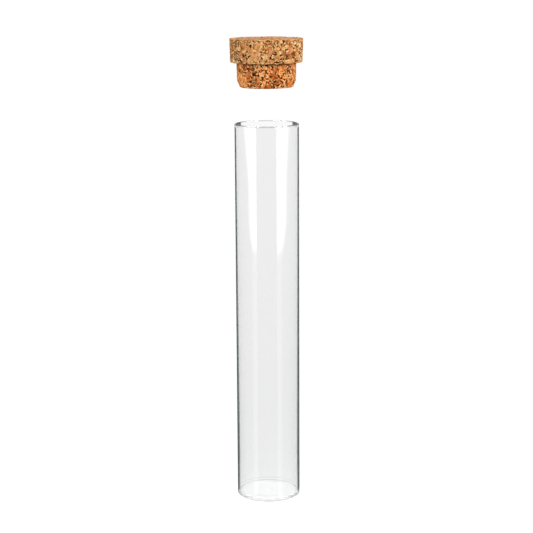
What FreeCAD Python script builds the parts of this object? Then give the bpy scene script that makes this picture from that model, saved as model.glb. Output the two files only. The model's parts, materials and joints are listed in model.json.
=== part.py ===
import FreeCAD, Part
import math
import os

# A flat-bottomed glass test tube with a stepped cork stopper drawn out above its mouth.
# Frame: millimetres, +Z up along the tube's axis, origin at the centre of the base's underside.

# Driving dimensions of the tube, a 150 x 25 mm size
TUBE_LENGTH = 150.0
TUBE_OUTER_DIAMETER = 25.0
WALL_THICKNESS = 0.8
BASE_THICKNESS = 1.2
BASE_OUTER_CORNER_RADIUS = 0.8
BASE_INNER_CORNER_RADIUS = 0.6

# Driving dimensions of the stopper
HEAD_TOP_DIAMETER = 28.6
HEAD_BOTTOM_DIAMETER = 28.1
HEAD_HEIGHT = 9.3
HEAD_EDGE_RADIUS = 0.4
PLUG_HEIGHT = 9.5
PLUG_LOWER_DIAMETER = 22.9
PLUG_LEAD_IN_HEIGHT = 2.6
PLUG_END_DIAMETER = 21.4
PLUG_LEAD_IN_RADIUS = 9.0
PLUG_END_EDGE_RADIUS = 1.0

# Gap between the bore and the widest part of the plug, right under the head
PLUG_FIT_CLEARANCE = 0.05

# Distance from the rim up to the plug's end while the stopper is drawn out
STOPPER_LIFT = 14.0

AXIS_POINT = FreeCAD.Vector(0, 0, 0)
AXIS_DIRECTION = FreeCAD.Vector(0, 0, 1)
LEVEL_TOLERANCE = 0.001


def point(radius, height):
    """A point of a half section, in the XZ plane."""
    return FreeCAD.Vector(radius, 0, height)


def straight(start, end):
    """A straight edge of a half section."""
    return Part.LineSegment(start, end).toShape()


def rounded(centre, radius, first_angle, last_angle):
    """A round edge of a half section, with angles in degrees up from the outward direction."""
    middle_angle = (first_angle + last_angle) / 2
    turns = [math.radians(angle) for angle in (first_angle, middle_angle, last_angle)]
    points = [centre + point(radius * math.cos(turn), radius * math.sin(turn)) for turn in turns]
    return Part.Arc(*points).toShape()


def glass_tube():
    """The glass: a straight wall, a flat base with rounded corners and a rim melted to a half round."""
    outer = TUBE_OUTER_DIAMETER / 2
    inner = outer - WALL_THICKNESS
    rim_radius = WALL_THICKNESS / 2
    rim_centre = point(outer - rim_radius, TUBE_LENGTH - rim_radius)
    foot_centre = point(outer - BASE_OUTER_CORNER_RADIUS, BASE_OUTER_CORNER_RADIUS)
    floor_centre = point(inner - BASE_INNER_CORNER_RADIUS, BASE_THICKNESS + BASE_INNER_CORNER_RADIUS)
    half_section = [
        straight(point(0, 0), point(foot_centre.x, 0)),
        rounded(foot_centre, BASE_OUTER_CORNER_RADIUS, -90, 0),
        straight(point(outer, foot_centre.z), point(outer, rim_centre.z)),
        rounded(rim_centre, rim_radius, 0, 180),
        straight(point(inner, rim_centre.z), point(inner, floor_centre.z)),
        rounded(floor_centre, BASE_INNER_CORNER_RADIUS, 0, -90),
        straight(point(floor_centre.x, BASE_THICKNESS), point(0, BASE_THICKNESS)),
        straight(point(0, BASE_THICKNESS), point(0, 0)),
    ]
    face = Part.Face(Part.Wire(half_section))
    return face.revolve(AXIS_POINT, AXIS_DIRECTION, 360)


def is_level(edge, height):
    """Whether an edge lies all round at one height."""
    lowest = abs(edge.BoundBox.ZMin - height)
    highest = abs(edge.BoundBox.ZMax - height)
    return max(lowest, highest) < LEVEL_TOLERANCE


def with_rounded_rim(solid, height, radius):
    """The solid with its round edge at this height rounded off."""
    return solid.makeFillet(radius, [edge for edge in solid.Edges if is_level(edge, height)])


def cork_plug(bottom):
    """The plug: it just fits the bore under the head, and tapers to a steeper lead-in at its end."""
    bore_radius = TUBE_OUTER_DIAMETER / 2 - WALL_THICKNESS
    lead_in_top = bottom + PLUG_LEAD_IN_HEIGHT
    corners = [
        point(0, bottom),
        point(PLUG_END_DIAMETER / 2, bottom),
        point(PLUG_LOWER_DIAMETER / 2, lead_in_top),
        point(bore_radius - PLUG_FIT_CLEARANCE, bottom + PLUG_HEIGHT),
        point(0, bottom + PLUG_HEIGHT),
        point(0, bottom),
    ]
    face = Part.Face(Part.makePolygon(corners))
    body = face.revolve(AXIS_POINT, AXIS_DIRECTION, 360)
    eased = with_rounded_rim(body, lead_in_top, PLUG_LEAD_IN_RADIUS)
    return with_rounded_rim(eased, bottom, PLUG_END_EDGE_RADIUS)


def cork_head(bottom):
    """The head: a thick disc glued on the plug, a little wider at the top, with both edges eased."""
    cone = Part.makeCone(HEAD_BOTTOM_DIAMETER / 2, HEAD_TOP_DIAMETER / 2, HEAD_HEIGHT, point(0, bottom))
    top_eased = with_rounded_rim(cone, bottom + HEAD_HEIGHT, HEAD_EDGE_RADIUS)
    return with_rounded_rim(top_eased, bottom, HEAD_EDGE_RADIUS)


plug_bottom = TUBE_LENGTH + STOPPER_LIFT
nodes = {
    "glass_tube": glass_tube(),
    "cork_plug": cork_plug(plug_bottom),
    "cork_head": cork_head(plug_bottom + PLUG_HEIGHT),
}

os.makedirs("parts", exist_ok=True)
for name, shape in nodes.items():
    shape.exportStep(f"parts/{name}.step")
    print(name, "valid:", shape.isValid(), "solids:", len(shape.Solids), "mm3:", round(shape.Volume, 1))
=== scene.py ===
import json
import math

import bpy
import numpy as np
from mathutils import Euler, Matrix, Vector, kdtree


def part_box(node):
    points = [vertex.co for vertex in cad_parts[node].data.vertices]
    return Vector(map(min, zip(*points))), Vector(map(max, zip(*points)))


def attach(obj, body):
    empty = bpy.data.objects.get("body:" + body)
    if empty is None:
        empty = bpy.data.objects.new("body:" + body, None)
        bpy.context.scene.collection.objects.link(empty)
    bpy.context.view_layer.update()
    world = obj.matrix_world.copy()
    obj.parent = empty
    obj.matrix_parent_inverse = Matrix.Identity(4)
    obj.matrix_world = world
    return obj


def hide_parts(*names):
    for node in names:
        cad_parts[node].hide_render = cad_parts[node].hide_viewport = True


# The looks of a glass test tube with a stepped cork stopper held above it.
# Lengths are in metres in the row frame: +Z up, origin at the centre of the base's underside.

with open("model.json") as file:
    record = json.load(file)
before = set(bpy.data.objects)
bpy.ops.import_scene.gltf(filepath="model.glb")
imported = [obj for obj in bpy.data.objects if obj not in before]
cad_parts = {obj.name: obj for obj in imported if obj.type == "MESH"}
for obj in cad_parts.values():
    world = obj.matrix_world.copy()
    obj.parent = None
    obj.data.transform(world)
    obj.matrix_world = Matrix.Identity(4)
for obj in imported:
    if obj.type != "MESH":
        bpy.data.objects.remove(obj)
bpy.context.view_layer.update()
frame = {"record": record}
MM = 0.001


# ---------------------------------------------------------------- sizes taken from the frame

def mount(name):
    return next(m for m in frame["record"]["mounts"] if m["name"] == name)


TUBE_LOW, TUBE_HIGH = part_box("glass_tube")
PLUG_LOW, PLUG_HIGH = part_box("cork_plug")
HEAD_LOW, HEAD_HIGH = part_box("cork_head")
OUTER_RADIUS = mount("body_wall")["dims"]["r_mm"] * MM
BORE_RADIUS = mount("mouth_bore")["dims"]["r_mm"] * MM
WALL = OUTER_RADIUS - BORE_RADIUS
TUBE_TOP = TUBE_HIGH.z


# ---------------------------------------------------------------- camera

# The viewer looks down a little at the tube, from in front, through a long lens
CAMERA_DISTANCE = 0.615
CAMERA_ABOVE_RIM = 0.0646
CAMERA_SIDE = -0.0004
CAMERA_TILT = math.radians(11.15)
CAMERA_ROLL = math.radians(-0.33)
CAMERA_LENS = 107.2
CAMERA_SENSOR = 36.0


def add_camera():
    data = bpy.data.cameras.new("camera")
    data.lens = CAMERA_LENS
    data.sensor_width = CAMERA_SENSOR
    data.clip_start = 0.01
    data.clip_end = 20.0
    camera = bpy.data.objects.new("camera", data)
    camera.location = (CAMERA_SIDE, -CAMERA_DISTANCE, TUBE_TOP + CAMERA_ABOVE_RIM)
    look = Euler((math.pi / 2 - CAMERA_TILT, 0, 0)).to_matrix()
    roll = Euler((0, 0, CAMERA_ROLL)).to_matrix()
    camera.rotation_euler = (look @ roll).to_euler()
    bpy.context.scene.collection.objects.link(camera)
    bpy.context.scene.camera = camera


# ---------------------------------------------------------------- node helpers

def new_material(name):
    material = bpy.data.materials.new(name)
    material.use_nodes = True
    material.node_tree.nodes.clear()
    return material, material.node_tree


def add_node(tree, kind, settings=None, **inputs):
    """A node with its settings, and its inputs, by name or as i and a number, linked or set to values."""
    node = tree.nodes.new(kind)
    for key, value in (settings or {}).items():
        setattr(node, key, value)
    for key, value in inputs.items():
        socket = node.inputs[int(key[1:])] if key[0] == "i" and key[1:].isdigit() else node.inputs[key]
        if isinstance(value, bpy.types.NodeSocket):
            tree.links.new(value, socket)
        else:
            socket.default_value = value
    return node


def math_node(tree, operation, a, b=0.0, clamp=False):
    node = add_node(tree, "ShaderNodeMath", {"operation": operation, "use_clamp": clamp}, i0=a, i1=b)
    return node.outputs[0]


def ramp_node(tree, value, stops):
    """A value or colour that follows straight lines between stops of (position, value or colour)."""
    node = add_node(tree, "ShaderNodeValToRGB", i0=value)
    ramp = node.color_ramp
    while len(ramp.elements) < len(stops):
        ramp.elements.new(0.5)
    for element, (position, colour) in zip(ramp.elements, stops):
        element.position = position
        element.color = (*colour, 1.0) if hasattr(colour, "__len__") else (colour, colour, colour, 1.0)
    return node.outputs[0]


def mix_colour(tree, factor, first, second):
    """first where the factor is 0, and second where it is 1."""
    return add_node(tree, "ShaderNodeMix", {"data_type": "RGBA"}, i0=factor, i6=first, i7=second).outputs[2]


def mix_value(tree, factor, first, second):
    """first where the factor is 0, and second where it is 1."""
    return add_node(tree, "ShaderNodeMix", {"data_type": "FLOAT"}, i0=factor, i2=first, i3=second).outputs[0]


def attribute(tree, name):
    """A value that the mesh holds at each point."""
    return add_node(tree, "ShaderNodeAttribute", {"attribute_name": name}).outputs["Fac"]


def set_attributes(mesh, values):
    """Stores arrays of one number for each point in the mesh, by name."""
    for name, numbers in values.items():
        mesh.attributes.new(name, "FLOAT", "POINT").data.foreach_set("value", numbers.astype(np.float32))


def smooth_step(values, low, high):
    """0 up to low, 1 from high, and a smooth curve between them."""
    share = np.clip((values - low) / (high - low), 0, 1)
    return share * share * (3 - 2 * share)


def srgb(red, green, blue):
    """A colour given in 0-255 display values, as linear values."""
    def linear(value):
        value /= 255
        return value / 12.92 if value <= 0.04045 else ((value + 0.055) / 1.055) ** 2.4
    return linear(red), linear(green), linear(blue)


# ---------------------------------------------------------------- studio

# How bright the world is to the eye, as a light, and to rays that the glass reflects or lets through
WORLD_WHITE = 1.0
WORLD_DIFFUSE = 0.72
WORLD_DIFFUSE_ABOVE = 0.40
WORLD_GLOSSY_BELOW = 0.03
WORLD_GLOSSY_LEVEL = 0.72
WORLD_GLOSSY_ABOVE = 0.1
FLOOR_HALF = 3.0
FLOOR_GLOW = 0.945
FLOOR_DIFFUSE = 0.45
FLOOR_DROP = 0.02 * MM


def add_world():
    """White to the eye, softer as a light from above, and to glossy rays dark overhead and below the horizon.

    Rays that leave the glass count as glossy, but see white where they are near level.
    """
    world = bpy.data.worlds.new("studio")
    world.use_nodes = True
    bpy.context.scene.world = world
    tree = world.node_tree
    tree.nodes.clear()
    path = tree.nodes.new("ShaderNodeLightPath")
    direction = tree.nodes.new("ShaderNodeTexCoord").outputs["Generated"]
    height = add_node(tree, "ShaderNodeSeparateXYZ", Vector=direction).outputs["Z"]
    # 0 straight down, 0.5 level and 1 straight up
    rise = add_node(tree, "ShaderNodeMath", {"operation": "MULTIPLY_ADD"}, i0=height, i1=0.5, i2=0.5)
    rise = rise.outputs[0]
    soft = ramp_node(tree, rise, [(0.72, WORLD_DIFFUSE), (0.90, WORLD_DIFFUSE_ABOVE)])
    reflected = ramp_node(tree, rise, [
        (0.22, WORLD_WHITE), (0.28, WORLD_GLOSSY_BELOW), (0.50, WORLD_GLOSSY_BELOW),
        (0.54, WORLD_GLOSSY_LEVEL), (0.78, WORLD_GLOSSY_LEVEL), (0.86, WORLD_GLOSSY_ABOVE),
    ])
    near_level = ramp_node(tree, rise, [(0.42, 0.0), (0.44, 1.0), (0.60, 1.0), (0.66, 0.0)])
    through = math_node(tree, "MULTIPLY", path.outputs["Is Transmission Ray"], near_level)
    glossy = mix_value(tree, through, reflected, WORLD_WHITE)
    lit = mix_value(tree, path.outputs["Is Diffuse Ray"], WORLD_WHITE, soft)
    seen = mix_value(tree, path.outputs["Is Glossy Ray"], lit, glossy)
    background = add_node(tree, "ShaderNodeBackground", Color=(1, 1, 1, 1), Strength=seen)
    add_node(tree, "ShaderNodeOutputWorld", Surface=background.outputs[0])


def add_floor():
    """A plain pale floor that glows a little, so that it is white to the eye and dimmer as a light."""
    mesh = bpy.data.meshes.new("floor")
    plan = [(-1, -1), (1, -1), (1, 1), (-1, 1)]
    mesh.from_pydata([(x * FLOOR_HALF, y * FLOOR_HALF, -FLOOR_DROP) for x, y in plan], [], [(0, 1, 2, 3)])
    floor = bpy.data.objects.new("floor", mesh)
    bpy.context.scene.collection.objects.link(floor)
    material, tree = new_material("floor_white")
    speckle = add_node(tree, "ShaderNodeTexNoise", Scale=40.0, Detail=2.0).outputs[0]
    tone = ramp_node(tree, speckle, [(0.0, 0.11), (1.0, 0.13)])
    diffuse = add_node(tree, "ShaderNodeBsdfDiffuse", Color=tone)
    path = tree.nodes.new("ShaderNodeLightPath")
    strength = math_node(tree, "MULTIPLY", path.outputs["Is Diffuse Ray"], FLOOR_DIFFUSE - FLOOR_GLOW)
    strength = math_node(tree, "ADD", strength, FLOOR_GLOW)
    glow = add_node(tree, "ShaderNodeEmission", Color=(1, 1, 1, 1), Strength=strength)
    both = add_node(tree, "ShaderNodeAddShader", i0=diffuse.outputs[0], i1=glow.outputs[0])
    add_node(tree, "ShaderNodeOutputMaterial", Surface=both.outputs[0])
    mesh.materials.append(material)
    floor.visible_glossy = False


def add_area(name, azimuth, elevation, distance, size, power, aim):
    """A rectangular light that isn't seen itself, at an azimuth in degrees from the front to the right."""
    data = bpy.data.lights.new(name, "AREA")
    data.shape = "RECTANGLE"
    data.size, data.size_y = size
    data.energy = power
    light = bpy.data.objects.new(name, data)
    turn, rise = math.radians(azimuth), math.radians(elevation)
    offset = Vector((math.sin(turn) * math.cos(rise), -math.cos(turn) * math.cos(rise), math.sin(rise)))
    light.location = Vector(aim) + offset * distance
    light.rotation_euler = offset.to_track_quat("Z", "Y").to_euler()
    light.visible_camera = False
    light.visible_transmission = False
    light.visible_glossy = False
    bpy.context.scene.collection.objects.link(light)


SOFTBOX_DISTANCE = 0.3
SOFTBOX_LOW = -0.10
SOFTBOX_HIGH = 0.40
SOFTBOX_SHARP = 2.5
SOFTBOX_SOFT = 9.0
SOFTBOX_STRENGTH = 5.0
SOFTBOX_END = 95
SOFTBOX_GRID = (90, 120)
FAINT_STRENGTH = 0.22


def add_softbox(name, side, near, outline):
    """A curved softbox seen only as a reflection, to the right (side 1) or left (side -1) of the viewer.

    near is the azimuth in degrees of its sharp upright edge. outline gives the height and azimuth of points
    along its soft outer edge, from its lowest corner up. Below that corner it goes on as a faint narrow band.
    """
    columns, rows = SOFTBOX_GRID
    azimuths = np.linspace(near - 2, SOFTBOX_END, columns + 1)
    heights = np.linspace(SOFTBOX_LOW, SOFTBOX_HIGH, rows + 1)
    azimuth, height = np.meshgrid(azimuths, heights)
    turn = np.radians(azimuth) * side
    places = np.stack([np.sin(turn) * SOFTBOX_DISTANCE, -np.cos(turn) * SOFTBOX_DISTANCE, height], -1)
    edge_heights, edge_azimuths = zip(*outline)
    outer = np.interp(height, np.array(edge_heights) * MM, edge_azimuths)
    inside = smooth_step(azimuth, near - SOFTBOX_SHARP / 2, near + SOFTBOX_SHARP / 2)
    main = 1 - smooth_step(azimuth, outer - SOFTBOX_SOFT, outer + SOFTBOX_SOFT)
    main *= smooth_step(height, edge_heights[0] * MM, (edge_heights[0] + 10) * MM)
    faint = 1 - smooth_step(azimuth, near + 10, near + 24)
    glow = inside * np.maximum(main, faint * FAINT_STRENGTH)
    first = (np.arange(rows)[:, None] * (columns + 1) + np.arange(columns)).ravel()
    faces = np.stack([first, first + 1, first + columns + 2, first + columns + 1], -1)
    mesh = bpy.data.meshes.new(name)
    mesh.from_pydata(places.reshape(-1, 3).tolist(), [], faces.tolist())
    set_attributes(mesh, {"glow": glow.ravel()})
    material, tree = new_material(name)
    strength = math_node(tree, "MULTIPLY", attribute(tree, "glow"), SOFTBOX_STRENGTH)
    emission = add_node(tree, "ShaderNodeEmission", Color=(1, 1, 1, 1), Strength=strength)
    clear = tree.nodes.new("ShaderNodeBsdfTransparent")
    both = add_node(tree, "ShaderNodeAddShader", i0=emission.outputs[0], i1=clear.outputs[0])
    add_node(tree, "ShaderNodeOutputMaterial", Surface=both.outputs[0])
    mesh.materials.append(material)
    reflection_only(bpy.data.objects.new(name, mesh))


CEILING_HEIGHT = 0.5
CEILING_STRENGTH = 28.0


def add_ceiling_light(name, side):
    """A slanted panel high above the rim, seen only as a highlight on the rounded lip."""
    plan = [(0.17, -0.31), (0.59, -0.04), (0.20, 0.40), (0.05, 0.25)]
    corners = [(side * x, y, TUBE_TOP + CEILING_HEIGHT) for x, y in plan]
    mesh = bpy.data.meshes.new(name)
    mesh.from_pydata(corners, [], [(0, 1, 2, 3)])
    material, tree = new_material(name)
    emission = add_node(tree, "ShaderNodeEmission", Color=(1, 1, 1, 1), Strength=CEILING_STRENGTH)
    add_node(tree, "ShaderNodeOutputMaterial", Surface=emission.outputs[0])
    mesh.materials.append(material)
    reflection_only(bpy.data.objects.new(name, mesh))


def reflection_only(light):
    """Links a lamp's mesh so that only reflections show it."""
    bpy.context.scene.collection.objects.link(light)
    light.visible_camera = False
    light.visible_transmission = False
    light.visible_diffuse = False
    light.visible_shadow = False


def add_lights():
    middle = (0, 0, (TUBE_TOP + HEAD_HIGH.z) / 2)
    add_area("key_right", 55, 25, 0.6, (0.3, 0.3), 2.12, middle)
    add_area("fill_left", -50, 15, 0.7, (0.3, 0.4), 1.2, middle)
    add_ceiling_light("ceiling_left", -1)
    add_ceiling_light("ceiling_right", 1)
    add_softbox("softbox_left", -1, 38, [(41, 41), (52, 58), (64, 66), (88, 68), (116, 84), (150, 90)])
    add_softbox("softbox_right", 1, 33.4, [(41, 44), (52, 60), (64, 70), (90, 72), (116, 82), (150, 86)])


# ---------------------------------------------------------------- turned meshes

def turned_mesh(name, rows):
    """A mesh turned about the axis from rows of (radius, height, segments).

    Neighbouring rows have the same number of segments, or one has twice as many. A row of one segment is a
    point on the axis.
    """
    starts, points, faces = [], [], []
    for radius, height, count in rows:
        starts.append(len(points))
        for step in range(count):
            turn = 2 * math.pi * step / count
            points.append((radius * math.cos(turn), radius * math.sin(turn), height))
    for low, high in zip(range(len(rows)), range(1, len(rows))):
        faces += ring_faces(starts[low], rows[low][2], starts[high], rows[high][2])
    mesh = bpy.data.meshes.new(name)
    mesh.from_pydata(points, [], faces)
    mesh.validate()
    mesh.update()
    return mesh


def ring_faces(low, low_count, high, high_count):
    """The faces between two rings, given by their first point and their number of points."""
    faces = []
    if low_count == 1:
        return [(low, high + (step + 1) % high_count, high + step) for step in range(high_count)]
    if high_count == 1:
        return [(low + step, high, low + (step + 1) % low_count)[::-1] for step in range(low_count)]
    if low_count == high_count:
        for step in range(low_count):
            after = (step + 1) % low_count
            faces.append((low + step, low + after, high + after, high + step))
        return faces
    if low_count * 2 == high_count:
        for step in range(low_count):
            after = (step + 1) % low_count
            left, middle = high + 2 * step, high + 2 * step + 1
            right = high + (2 * step + 2) % high_count
            faces.append((low + step, middle, left))
            faces.append((low + step, low + after, right, middle))
        return faces
    for step in range(high_count):
        after = (step + 1) % high_count
        left, middle = low + 2 * step, low + 2 * step + 1
        right = low + (2 * step + 2) % low_count
        faces.append((left, middle, high + step))
        faces.append((middle, right, high + after, high + step))
    return faces


def add_piece(name, mesh, body, node, material):
    """A smooth piece that rides on a body and stands for a CAD node."""
    piece = bpy.data.objects.new(name, mesh)
    bpy.context.scene.collection.objects.link(piece)
    mesh.materials.append(material)
    for polygon in mesh.polygons:
        polygon.use_smooth = True
    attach(piece, body)
    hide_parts(node)


def corner(centre_radius, centre_height, radius, first, last, steps):
    """Points of a round corner in a half section, angles in degrees up from the outward direction."""
    points = []
    for step in range(steps + 1):
        turn = math.radians(first + (last - first) * step / steps)
        points.append((centre_radius + radius * math.cos(turn), centre_height + radius * math.sin(turn)))
    return points


# ---------------------------------------------------------------- glass tube

GLASS_SEGMENTS = 256
BASE_THICKNESS = 1.2 * MM
FOOT_RADIUS = 0.8 * MM
FLOOR_CORNER = 0.6 * MM
END_GAPS = [0.3 * MM, 0.6 * MM, 0.9 * MM, 1.3 * MM, 1.8 * MM, 2.5 * MM, 4 * MM, 7 * MM]
MIDDLE_START = 12 * MM
MIDDLE_ROWS = 16
NEAR_WALL = 0.02 * MM


def wall_heights(low, high):
    """Heights along a straight wall, close together near its ends."""
    middle = list(np.linspace(low + MIDDLE_START, high - MIDDLE_START, MIDDLE_ROWS))
    return [low + gap for gap in END_GAPS] + middle + [high - gap for gap in reversed(END_GAPS)]


def glass_section():
    """The half section of the glass, from the middle of the underside round to the middle of the floor."""
    rim = WALL / 2
    foot = corner(OUTER_RADIUS - FOOT_RADIUS, FOOT_RADIUS, FOOT_RADIUS, -90, 0, 10)
    outer_wall = [(OUTER_RADIUS, height) for height in wall_heights(FOOT_RADIUS, TUBE_TOP - rim)]
    lip = corner(OUTER_RADIUS - rim, TUBE_TOP - rim, rim, 0, 180, 16)
    floor_height = BASE_THICKNESS + FLOOR_CORNER
    inner_wall = [(BORE_RADIUS, height) for height in wall_heights(floor_height, TUBE_TOP - rim)][::-1]
    floor = corner(BORE_RADIUS - FLOOR_CORNER, floor_height, FLOOR_CORNER, 0, -90, 10)
    underside = [(OUTER_RADIUS * s / 12, 0.0) for s in (1, 3, 5, 7, 9)]
    inside = [(BORE_RADIUS * s / 12, BASE_THICKNESS) for s in (9, 7, 5, 3, 1)]
    return underside + foot + outer_wall + lip + inner_wall + floor + inside


def glass_mesh():
    rows = [(0.0, 0.0, 1)]
    rows += [(radius, height, GLASS_SEGMENTS) for radius, height in glass_section()]
    rows += [(0.0, BASE_THICKNESS, 1)]
    return turned_mesh("glass", rows)


# What light keeps each time it passes the surface: the two glass tints and the shadow tint. The greys and
# darks between them are painted shade that darkens bands of the glass.
GLASS_TINT_HIGH = (0.944, 0.945, 0.944, 1)
GLASS_TINT_LOW = (0.910, 0.912, 0.911, 1)
PAINTED_GRAZING_SHADE = (0.61, 0.62, 0.62, 1)
PAINTED_EDGE_MIDDLE_SHADE = (0.26, 0.31, 0.325, 1)
PAINTED_EDGE_SHADE = (0.026, 0.033, 0.035, 1)
PAINTED_LIP_SHADE = (0.006, 0.010, 0.008, 1)
PAINTED_FOOT_SHADE = (0.35, 0.36, 0.34, 1)
PAINTED_FLOOR_EDGE_SHADE = (0.70, 0.72, 0.71, 1)
SHADOW_TINT = (0.97, 0.98, 0.98, 1)
# How much of the lip's painted shade the ring along its crest has
CREST_SHARE = 0.6


def shade_wall(tree, colour, up, facing):
    """The straight wall: faint grey painted shade, and a painted dark line where it is seen edge on, wider
    towards the base.
    """
    wall = attribute(tree, "wall")
    # Painted shade: the wall greys a little, then turns dark where it is seen edge on
    grazing_shade = ramp_node(tree, facing, [(0.0, 0.0), (0.30, 0.10), (0.60, 0.42), (1.0, 0.42)])
    grazing_shade = math_node(tree, "MULTIPLY", grazing_shade, ramp_node(tree, up, [(0.0, 0.6), (0.12, 1.0), (0.9, 0.05)]))
    narrowing = ramp_node(tree, up, [(0.0, 0.05), (0.12, 0.01), (1.0, 0.09)])
    thinned = math_node(tree, "SUBTRACT", facing, narrowing)
    begin = ramp_node(tree, thinned, [(0.57, 0.0), (0.62, 1.0)])
    line = ramp_node(tree, thinned, [(0.60, 0.0), (0.68, 1.0)])
    for share, painted_shade in ((grazing_shade, PAINTED_GRAZING_SHADE), (begin, PAINTED_EDGE_MIDDLE_SHADE), (line, PAINTED_EDGE_SHADE)):
        colour = mix_colour(tree, math_node(tree, "MULTIPLY", share, wall), colour, painted_shade)
    return colour


def shade_lip(tree, colour, facing):
    """The lip: painted shade inside where it is seen edge on, and a thin grey ring of painted shade all round
    its crest.
    """
    # Painted shade: the inside of the lip turns dark where it is seen edge on, and its crest is a grey ring
    # all round
    deep = ramp_node(tree, facing, [(0.45, 0.0), (0.50, 1.0)])
    inside = math_node(tree, "MULTIPLY", deep, attribute(tree, "lip"))
    crest = math_node(tree, "MULTIPLY", attribute(tree, "crest"), CREST_SHARE)
    return mix_colour(tree, math_node(tree, "MAXIMUM", inside, crest), colour, PAINTED_LIP_SHADE)


def shade_base(tree, colour, facing):
    """The base: painted shade that greys the foot where it is seen edge on, and faint rings of painted shade
    at the edge of the floor.
    """
    # Painted shade: the foot greys where it is seen edge on
    stroke = ramp_node(tree, facing, [(0.35, 0.0), (0.60, 1.0)])
    stroke = math_node(tree, "MULTIPLY", attribute(tree, "foot"), stroke)
    colour = mix_colour(tree, stroke, colour, PAINTED_FOOT_SHADE)
    # Painted shade: faint grey rings at the edge of the floor inside
    return mix_colour(tree, attribute(tree, "floor_edge"), colour, PAINTED_FLOOR_EDGE_SHADE)


def glass_material():
    """Clear glass, a little greyer low down, with bands of painted shade on its wall, lip, foot and floor
    edge.
    """
    material, tree = new_material("clear_glass")
    place = tree.nodes.new("ShaderNodeTexCoord").outputs["Object"]
    height = add_node(tree, "ShaderNodeSeparateXYZ", Vector=place).outputs["Z"]
    up = math_node(tree, "DIVIDE", height, TUBE_TOP, clamp=True)
    facing = add_node(tree, "ShaderNodeLayerWeight", Blend=0.5).outputs["Facing"]
    cleared = ramp_node(tree, up, [(0.25, 0.0), (1.0, 1.0)])
    colour = mix_colour(tree, cleared, GLASS_TINT_LOW, GLASS_TINT_HIGH)
    colour = shade_wall(tree, colour, up, facing)
    colour = shade_lip(tree, colour, facing)
    colour = shade_base(tree, colour, facing)
    glass = add_node(
        tree, "ShaderNodeBsdfPrincipled",
        **{"Base Color": colour, "Roughness": 0.0, "IOR": 1.5, "Transmission Weight": 1.0},
    )
    clear = add_node(tree, "ShaderNodeBsdfTransparent", Color=SHADOW_TINT)
    in_shadow = tree.nodes.new("ShaderNodeLightPath").outputs["Is Shadow Ray"]
    mixed = add_node(tree, "ShaderNodeMixShader", i0=in_shadow, i1=glass.outputs[0], i2=clear.outputs[0])
    add_node(tree, "ShaderNodeOutputMaterial", Surface=mixed.outputs[0])
    return material


def glass_bands(places):
    """How far each point lies in each band of the glass that gets its own painted shade, from 0 to 1."""
    radius = np.hypot(places[:, 0], places[:, 1])
    height = places[:, 2]
    below_rim = TUBE_TOP - height
    above_floor = height - BASE_THICKNESS
    outside = radius > OUTER_RADIUS - NEAR_WALL
    inside = radius < BORE_RADIUS + NEAR_WALL
    outer_half = radius > OUTER_RADIUS - WALL / 2
    inner_half = radius < OUTER_RADIUS - WALL / 2
    above_foot = smooth_step(height, 2.1 * MM, 2.6 * MM)
    lower = smooth_step(above_floor, 0.02 * MM, 0.08 * MM)
    lower = lower * (1 - smooth_step(above_floor, 0.3 * MM, 0.5 * MM))
    upper = smooth_step(above_floor, 0.9 * MM, 1.2 * MM) * (1 - smooth_step(above_floor, 1.2 * MM, 1.9 * MM))
    return {
        "wall": outside * smooth_step(below_rim, 0.9 * MM, 1.5 * MM) * above_foot,
        "lip": inner_half * (1 - smooth_step(below_rim, 1.2 * MM, 2.0 * MM)),
        "crest": outer_half * (1 - smooth_step(below_rim, 0.34 * MM, 0.46 * MM)),
        "foot": outside * (1 - smooth_step(height, 0.4 * MM, 0.8 * MM)),
        "floor_edge": inside * (lower + 0.6 * upper),
    }


def add_glass():
    mesh = glass_mesh()
    places = np.zeros(len(mesh.vertices) * 3, np.float32)
    mesh.vertices.foreach_get("co", places)
    set_attributes(mesh, glass_bands(places.reshape(-1, 3)))
    add_piece("glass_body", mesh, "tube", "glass_tube", glass_material())


# ---------------------------------------------------------------- cork

CORK_SEGMENTS = 512
CORK_SPACING = 0.17 * MM
GRANULE_SPACING = 2.0 * MM
CRUMB_SPACING = 0.85 * MM
PITS_PER_SQUARE_MM = 0.43
PIT_LONGEST = 0.8 * MM
# Share of pits with a painted highlight, a pale glint, beside them
GLINT_SHARE = 0.75
FLAKES_PER_SQUARE_MM = 0.045
FLAKE_LINE = 0.25 * MM

HEAD_TAPER = 0.25 * MM
HEAD_LOW_CORNER = 0.4 * MM
HEAD_HIGH_CORNER = 0.3 * MM
HEAD_HIDDEN_RADIUS = 10.5 * MM
PLUG_END_RADIUS = 10.65 * MM
PLUG_LOWER_RADIUS = 11.45 * MM
PLUG_LEAD_IN_HEIGHT = 2.6 * MM
PLUG_TURN_REACH = 1.0 * MM
PLUG_LOW_CORNER = 0.9 * MM
PLUG_HIGH_CORNER = 0.1 * MM
PLUG_HIDDEN_RADIUS = 9.5 * MM

# Numbers that set which random pattern each piece gets
HEAD_SEED = 2
PLUG_SEED = 23
RAGGED_SEED = 11
HASH_PRIMES = (73856093, 19349663, 83492791, 2654435761)


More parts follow.
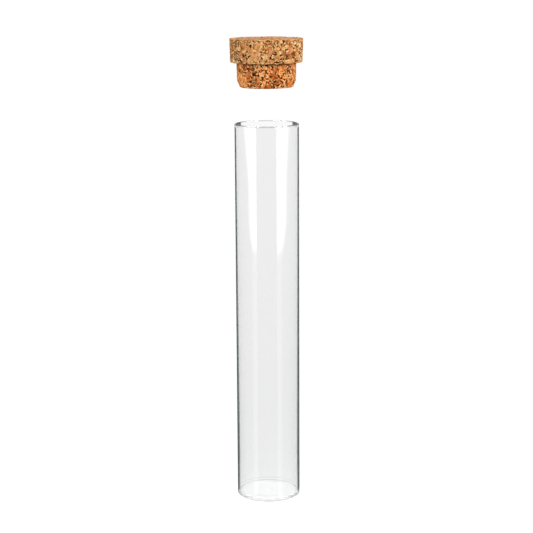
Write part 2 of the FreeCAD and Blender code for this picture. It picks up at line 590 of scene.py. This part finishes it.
def value_noise(points, size, seed):
    """Smooth random values from 0 to 1 over points, with lumps of a size."""
    cells = points / size
    base = np.floor(cells).astype(np.int64)
    part = cells - base
    part = part * part * (3 - 2 * part)
    total = np.zeros(len(points))
    for corner_index in range(8):
        offset = np.array([corner_index & 1, corner_index >> 1 & 1, corner_index >> 2 & 1])
        lattice = base + offset
        key = lattice[:, 0] * HASH_PRIMES[0] ^ lattice[:, 1] * HASH_PRIMES[1]
        key = key ^ lattice[:, 2] * HASH_PRIMES[2] ^ seed * HASH_PRIMES[3]
        key = (key ^ key >> 13) * 1274126177 & 0x7FFFFFFF
        key = (key ^ key >> 16) & 0xFFFF
        weight = np.prod(np.where(offset == 1, part, 1 - part), axis=1)
        total += weight * key / 0xFFFF
    return total


def random_rotations(rng, count):
    """Random rotation matrices, from random unit quaternions."""
    quaternions = rng.normal(size=(count, 4))
    w, x, y, z = (quaternions / np.linalg.norm(quaternions, axis=1, keepdims=True)).T
    return np.array([
        [1 - 2 * (y * y + z * z), 2 * (x * y - z * w), 2 * (x * z + y * w)],
        [2 * (x * y + z * w), 1 - 2 * (x * x + z * z), 2 * (y * z - x * w)],
        [2 * (x * z - y * w), 2 * (y * z + x * w), 1 - 2 * (x * x + y * y)],
    ]).transpose(2, 0, 1)


def granules(points, rng, spacing, shape):
    """The cork granule that each point lies in, and how near it is to the joint between two granules."""
    low, high = points.min(0) - spacing, points.max(0) + spacing
    axes = [np.arange(low[i], high[i], spacing) for i in range(3)]
    seeds = np.stack(np.meshgrid(*axes, indexing="ij"), -1).reshape(-1, 3)
    seeds = seeds + rng.uniform(-0.5, 0.5, seeds.shape) * spacing
    count = len(seeds)
    turns = random_rotations(rng, count)
    stretch = np.array(shape) * rng.uniform(0.75, 1.35, (count, 1))
    tree = kdtree.KDTree(count)
    for index, seed in enumerate(seeds):
        tree.insert(seed, index)
    tree.balance()
    near = np.array([[found[1] for found in tree.find_n(point, 8)] for point in points])
    away = points[:, None, :] - seeds[near]
    local = np.einsum("pkij,pkj->pki", turns[near], away) * stretch[near]
    reach = np.linalg.norm(local, axis=2)
    order = np.argsort(reach, axis=1)
    rows = np.arange(len(points))
    nearest = near[rows, order[:, 0]]
    first, second, third = (reach[rows, order[:, i]] for i in range(3))
    return {
        "tone": rng.uniform(0, 1, count)[nearest],
        "warmth": rng.uniform(0, 1, count)[nearest],
        "height": rng.uniform(0, 1, count)[nearest],
        "fibre": turns[nearest][:, 0, :],
        "number": nearest,
        "joint": (second - first) / MM,
        "junction": (third - first) / MM,
    }


def spots(points, normals, centres, size, length, turn, offset, edge):
    """How far inside the nearest of some oval spots each point is, from 0 to 1."""
    across = np.cross(normals[centres], (0.31, 0.17, 0.93))
    across /= np.linalg.norm(across, axis=1, keepdims=True)
    up = np.cross(normals[centres], across)
    long_axis = across * np.cos(turn)[:, None] + up * np.sin(turn)[:, None]
    short_axis = np.cross(normals[centres], long_axis)
    places = points[centres] + short_axis * offset[:, None]
    tree = kdtree.KDTree(len(centres))
    for index, place in enumerate(places):
        tree.insert(place, index)
    tree.balance()
    near = np.array([[found[1] for found in tree.find_n(point, 4)] for point in points])
    away = points[:, None, :] - places[near]
    along = np.einsum("pki,pki->pk", away, long_axis[near]) / length[near]
    aside = np.einsum("pki,pki->pk", away, short_axis[near]) / size[near]
    ragged = 0.7 * (value_noise(points, 0.3 * MM, RAGGED_SEED) - 0.5)
    return 1 - smooth_step(np.hypot(along, aside).min(1) + ragged, edge, 1.0)


def pits_and_glints(points, normals, rng, weights, area):
    """The dark pits in the surface, and painted highlights as pale glints beside most of them, for an area in
    square mm.
    """
    count = int(area * PITS_PER_SQUARE_MM)
    centres = rng.choice(len(points), count, p=weights / weights.sum())
    size = rng.uniform(0.17, 0.28, count) * rng.choice([0.75, 1.0, 1.4], count, p=[0.36, 0.44, 0.20]) * MM
    length = np.minimum(size * rng.uniform(1.3, 3.4, count), PIT_LONGEST)
    turn = rng.uniform(0, math.pi, count)
    pit = spots(points, normals, centres, size, length, turn, np.zeros(count), 0.5)
    # Painted highlight: a pale glint beside most pits
    bright = rng.uniform(0, 1, count) < GLINT_SHARE
    glint_size = size[bright] * rng.uniform(0.7, 1.3, bright.sum())
    offset = (size[bright] + glint_size) * rng.choice([-1.05, 1.05], bright.sum())
    glint = spots(
        points, normals, centres[bright], glint_size, length[bright] * 1.2, turn[bright], offset, 0.3,
    )
    return pit, glint * (1 - pit)


def pale_flakes(points, normals, rng, area):
    """Where the few long pale flakes lie, and the dark line round each of them."""
    count = int(area * FLAKES_PER_SQUARE_MM)
    centres = rng.choice(len(points), count)
    size = rng.uniform(0.26, 0.50, count) * MM
    length = rng.uniform(0.7, 1.5, count) * MM
    turn = rng.uniform(0, math.pi, count)
    offset = np.zeros(count)
    flake = spots(points, normals, centres, size, length, turn, offset, 0.65)
    wide = spots(points, normals, centres, size + FLAKE_LINE, length + FLAKE_LINE, turn, offset, 0.8)
    return flake, np.clip(wide - flake, 0, 1)


def ranked(values):
    """The values spread evenly from 0 to 1 in the same order."""
    result = np.empty(len(values))
    result[np.argsort(values, kind="stable")] = np.linspace(0, 1, len(values))
    return result


def row_segments(radius):
    """Fewer segments towards the axis, halved each time the ring is half as long."""
    segments = CORK_SEGMENTS
    while segments > 16 and 2 * math.pi * radius / segments < 0.58 * CORK_SPACING:
        segments //= 2
    return segments


def line_points(start, end, spacing):
    steps = max(1, round(math.dist(start, end) / spacing))
    return [tuple(a + (b - a) * s / steps for a, b in zip(start, end)) for s in range(steps + 1)]


def eased_turn(before, turn, after, reach, steps):
    """A smooth curve that cuts the turn between two straight lines, as far as reach from it on both."""
    turn = Vector(turn)
    start = turn + (Vector(before) - turn).normalized() * reach
    end = turn + (Vector(after) - turn).normalized() * reach
    shares = [step / steps for step in range(steps + 1)]
    return [tuple(start * (1 - t) ** 2 + turn * 2 * t * (1 - t) + end * t ** 2) for t in shares]


def cork_rows(low, high, low_radius, high_radius, low_corner, high_corner, hidden_radius, waist=None):
    """Rows of a tapered disc: under face, lower corner, side, upper corner and top, spaced evenly.

    Inside hidden_radius the under face, or the top if it is negative, is left coarse. waist is a point where
    the side turns smoothly to another slope.
    """
    middle = 0.05 * MM
    coarse = 2 * MM
    steps = max(3, round(low_corner * math.pi / 2 / CORK_SPACING))
    lower = corner(low_radius - low_corner, low + low_corner, low_corner, -90, 0, steps)
    steps = max(3, round(high_corner * math.pi / 2 / CORK_SPACING))
    upper = corner(high_radius - high_corner, high - high_corner, high_corner, 0, 90, steps)
    split = abs(hidden_radius)
    under_inner = line_points((middle, low), (split, low), coarse if hidden_radius > 0 else CORK_SPACING)
    under_outer = line_points((split, low), lower[0], CORK_SPACING)
    if waist:
        turn = eased_turn(lower[-1], waist, upper[0], PLUG_TURN_REACH, 12)
        side = line_points(lower[-1], turn[0], CORK_SPACING)[:-1] + turn
        side += line_points(turn[-1], upper[0], CORK_SPACING)[1:]
    else:
        side = line_points(lower[-1], upper[0], CORK_SPACING)
    top_outer = line_points(upper[-1], (split, high), CORK_SPACING)
    top_inner = line_points((split, high), (middle, high), coarse if hidden_radius < 0 else CORK_SPACING)
    sections = [under_inner, under_outer[1:], lower[1:], side[1:], upper[1:], top_outer[1:], top_inner[1:]]
    profile = [point for section in sections for point in section]
    rows = [(0.0, low, 1)]
    rows += [(radius, height, row_segments(radius)) for radius, height in profile]
    rows += [(0.0, high, 1)]
    return evened(rows)


def evened(rows):
    """The rows with extra ones where the number of segments changes by more than a factor of two."""
    result = [rows[0]]
    for row in rows[1:]:
        while result[-1][2] > 1 and row[2] > 1 and row[2] > 2 * result[-1][2]:
            last = result[-1]
            result.append(((last[0] * 0.6 + row[0] * 0.4), last[1] * 0.6 + row[1] * 0.4, last[2] * 2))
        while row[2] > 1 and result[-1][2] > 2 * row[2]:
            last = result[-1]
            result.append(((last[0] * 0.6 + row[0] * 0.4), last[1] * 0.6 + row[1] * 0.4, last[2] // 2))
        result.append(row)
    return result


def cork_mesh(name, rows, seed, groove):
    """A piece of agglomerated cork. groove says for a height how far it is in the joint of the pieces."""
    mesh = turned_mesh(name, rows)
    count = len(mesh.vertices)
    points, normals = np.zeros(count * 3), np.zeros(count * 3)
    mesh.vertices.foreach_get("co", points)
    mesh.vertices.foreach_get("normal", normals)
    points, normals = points.reshape(-1, 3), normals.reshape(-1, 3)
    area = sum(polygon.area for polygon in mesh.polygons) / MM ** 2
    rng = np.random.default_rng(seed)

    # Large granules with dark seams between them, and cracks between small crumbs where a seam is broken
    large = granules(points, rng, GRANULE_SPACING, (0.5, 1.0, 1.7))
    small = granules(points, rng, CRUMB_SPACING, (0.6, 1.0, 1.5))
    broken = smooth_step(value_noise(points, 1.3 * MM, seed + 1), 0.3, 0.6)
    seam = (1 - smooth_step(large["joint"], 0.0, 0.20)) * (0.3 + 0.7 * broken)
    crack = (1 - smooth_step(small["joint"], 0.0, 0.13)) * (1 - broken)

    # Pits gather where three granules meet, and are rare on the underside and in the joint
    weights = 0.05 + (1 - smooth_step(large["junction"], 0.0, 0.6)) ** 2
    weights *= np.where(normals[:, 2] < -0.5, 0.08, 1.0) * (1 - 0.85 * groove(points[:, 2]))
    pit, glint = pits_and_glints(points, normals, rng, weights, area)
    flake, flake_line = pale_flakes(points, normals, rng, area)
    flake *= 1 - pit

    # Each granule has its own tone, with streaks along its fibre
    along = np.einsum("pi,pi->p", points, large["fibre"])
    strand = np.stack([along, large["number"] * 3.7 * MM, np.zeros(count)], -1)
    streak = 0.6 * value_noise(strand, 0.45 * MM, seed + 4) + 0.4 * value_noise(strand, 0.22 * MM, seed + 5)
    rough = value_noise(points, 0.35 * MM, seed + 2)
    swell = value_noise(points, 3.0 * MM, seed + 3)
    tone = 0.55 * large["tone"] + 0.30 * small["tone"] + 0.75 * streak + 0.35 * rough - 0.25 * swell

    # The surface sinks a little everywhere, and most in pits and in the joint
    gaps = smooth_step(value_noise(points, 1.1 * MM, seed + 6), 0.25, 0.6)
    # The joint sinks, and its dark colour is partly a glue line and partly painted shade under the head's
    # overhang
    joint_gap_and_shade = groove(points[:, 2]) * (0.35 + 0.65 * gaps)
    depth = 0.03 * rough + 0.09 * swell + 0.04 * large["height"] + 0.07 * seam + 0.16 * joint_gap_and_shade
    depth += 0.30 * pit * np.clip(1 + 1.5 * normals[:, 2], 0.1, 1)
    points = points - normals * (depth * MM)[:, None]
    mesh.vertices.foreach_set("co", points.ravel())
    set_attributes(mesh, {
        "tone": ranked(tone),
        "warmth": large["warmth"],
        "seam": np.maximum.reduce([seam, 0.7 * crack, flake_line * (0.4 + 0.6 * rough)]),
        "pit": pit,
        "glint": glint,
        "flake": flake,
        "groove": joint_gap_and_shade,
    })
    mesh.update()
    return mesh


# Tones from the darkest granules to the palest, and the colours of the marks on them, as display values. The
# glint colour is a painted highlight, and the groove colour is partly a dark glue line and partly painted
# shade under the head.
HEAD_TONES = [
    (0.00, (98, 47, 12)), (0.10, (142, 81, 31)), (0.25, (173, 108, 50)), (0.50, (204, 134, 69)),
    (0.75, (224, 157, 89)), (0.90, (238, 176, 106)), (1.00, (254, 210, 149)),
]
HEAD_MARKS = {
    "warm": (222, 145, 98), "flake": (238, 200, 144), "seam": (108, 64, 22),
    "glint": (252, 222, 170), "groove": (92, 70, 26), "pit": (52, 24, 6),
}
PLUG_TONES = [
    (0.00, (104, 44, 10)), (0.10, (154, 77, 26)), (0.25, (190, 102, 39)), (0.50, (220, 127, 57)),
    (0.75, (247, 152, 79)), (0.90, (255, 172, 98)), (1.00, (255, 208, 140)),
]
PLUG_MARKS = {
    "warm": (240, 140, 80), "flake": (245, 190, 126), "seam": (116, 58, 18),
    "glint": (254, 216, 152), "groove": (80, 50, 14), "pit": (48, 20, 4),
}
MOTTLE_SCALE = 2200.0
MOTTLE_CONTRAST = 0.9


def cork_material(name, tones, marks):
    """Rough cork in these tones, mottled finely, with marks over them in order, the pits last; the glints are
    painted highlights and the groove is partly painted shade.
    """
    material, tree = new_material(name)
    place = tree.nodes.new("ShaderNodeTexCoord").outputs["Object"]
    noise = add_node(tree, "ShaderNodeTexNoise", Vector=place, Scale=MOTTLE_SCALE, Detail=3.0, Roughness=0.6)
    mottle = noise.outputs[0]
    level = math_node(tree, "MULTIPLY", math_node(tree, "SUBTRACT", mottle, 0.5), MOTTLE_CONTRAST)
    level = math_node(tree, "ADD", level, attribute(tree, "tone"))
    colour = ramp_node(tree, level, [(position, srgb(*tone)) for position, tone in tones])
    grain = ramp_node(tree, level, [(0.1, 0.45), (0.5, 0.85)])
    shares = {
        "warm": ramp_node(tree, attribute(tree, "warmth"), [(0.66, 0.0), (0.9, 0.55)]),
        "flake": math_node(tree, "MULTIPLY", attribute(tree, "flake"), grain),
        "seam": math_node(tree, "MULTIPLY", attribute(tree, "seam"), 0.72),
        # Painted highlight beside the pits
        "glint": math_node(tree, "MULTIPLY", attribute(tree, "glint"), 0.95),
        # Partly a dark glue line, partly painted shade under the head's overhang
        "groove": math_node(tree, "MULTIPLY", attribute(tree, "groove"), 0.85),
        "pit": ramp_node(tree, attribute(tree, "pit"), [(0.1, 0.0), (0.7, 1.0)]),
    }
    for key, share in shares.items():
        colour = mix_colour(tree, share, colour, (*srgb(*marks[key]), 1))
    bump = add_node(tree, "ShaderNodeBump", Strength=0.4, Distance=0.06 * MM, Height=mottle)
    surface = add_node(
        tree, "ShaderNodeBsdfPrincipled",
        **{"Base Color": colour, "Roughness": 0.9, "Specular IOR Level": 0.05, "Normal": bump.outputs[0]},
    )
    add_node(tree, "ShaderNodeOutputMaterial", Surface=surface.outputs[0])
    return material


def head_groove(height):
    """How far a height of the head is in its joint with the plug."""
    return 0.7 * (1 - smooth_step(height - HEAD_LOW.z, 0, 0.4 * MM))


def plug_groove(height):
    """How far a height of the plug is in its joint with the head."""
    return 1 - smooth_step(PLUG_HIGH.z - height, 0.1 * MM, 0.5 * MM)


def add_head():
    rows = cork_rows(
        HEAD_LOW.z, HEAD_HIGH.z, HEAD_HIGH.x - HEAD_TAPER, HEAD_HIGH.x,
        HEAD_LOW_CORNER, HEAD_HIGH_CORNER, HEAD_HIDDEN_RADIUS,
    )
    mesh = cork_mesh("cork_head_disc", rows, HEAD_SEED, head_groove)
    material = cork_material("cork_yellow_brown", HEAD_TONES, HEAD_MARKS)
    add_piece("cork_head_disc", mesh, "stopper", "cork_head", material)


def add_plug():
    rows = cork_rows(
        PLUG_LOW.z, PLUG_HIGH.z, PLUG_END_RADIUS, PLUG_HIGH.x,
        PLUG_LOW_CORNER, PLUG_HIGH_CORNER, -PLUG_HIDDEN_RADIUS,
        (PLUG_LOWER_RADIUS, PLUG_LOW.z + PLUG_LEAD_IN_HEIGHT),
    )
    mesh = cork_mesh("cork_plug_body", rows, PLUG_SEED, plug_groove)
    material = cork_material("cork_orange_brown", PLUG_TONES, PLUG_MARKS)
    add_piece("cork_plug_body", mesh, "stopper", "cork_plug", material)


add_camera()
add_world()
add_floor()
add_lights()
add_glass()
add_head()
add_plug()

scene = bpy.context.scene
scene.view_settings.view_transform = "Standard"
scene.view_settings.look = "None"
# Light runs many times round inside the glass base before it comes out
scene.cycles.max_bounces = 96
scene.cycles.glossy_bounces = 96
scene.cycles.transmission_bounces = 96
